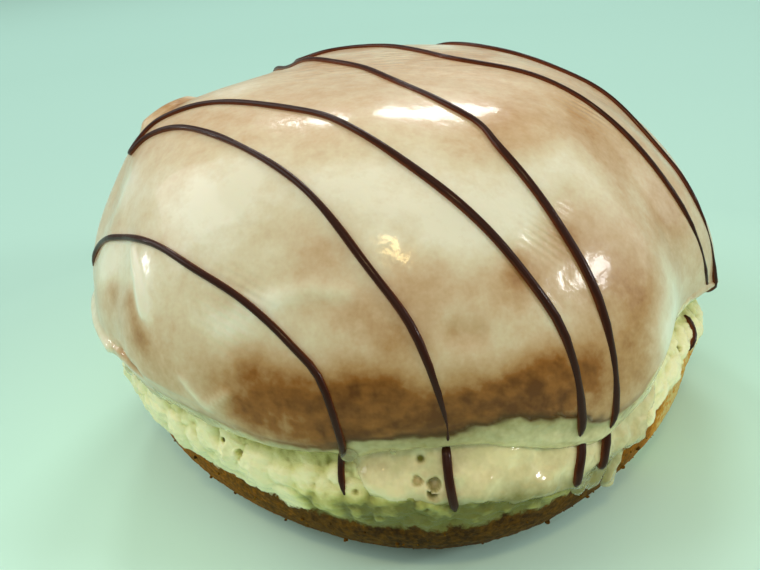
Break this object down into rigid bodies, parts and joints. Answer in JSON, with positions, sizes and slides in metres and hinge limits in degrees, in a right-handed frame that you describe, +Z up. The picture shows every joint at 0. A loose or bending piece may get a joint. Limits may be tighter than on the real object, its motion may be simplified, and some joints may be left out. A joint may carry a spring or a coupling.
{
  "type": "filled yeast doughnut with glaze and chocolate drizzle",
  "caption": "Round filled yeast doughnut, uncut, with a domed glazed top, a pale crumb band, a browned flat base and fine chocolate lines.",
  "frame": {"origin": "middle of the flat spot that the doughnut rests on, under the middle of its outline", "axes": "+Z up through the dome, -Y towards the front, +X to the right"},
  "size_m": [0.0966, 0.097, 0.0548],
  "materials": {
    "glaze": "translucent sugar glaze over browned dough",
    "crumb": "pale, soft, glaze-coated crumb",
    "crust": "fried brown crust, fine grained",
    "chocolate": "set dark chocolate, glossy"
  },
  "bodies": {
    "root": {"doughnut": "glaze"}
  },
  "joints": []
}
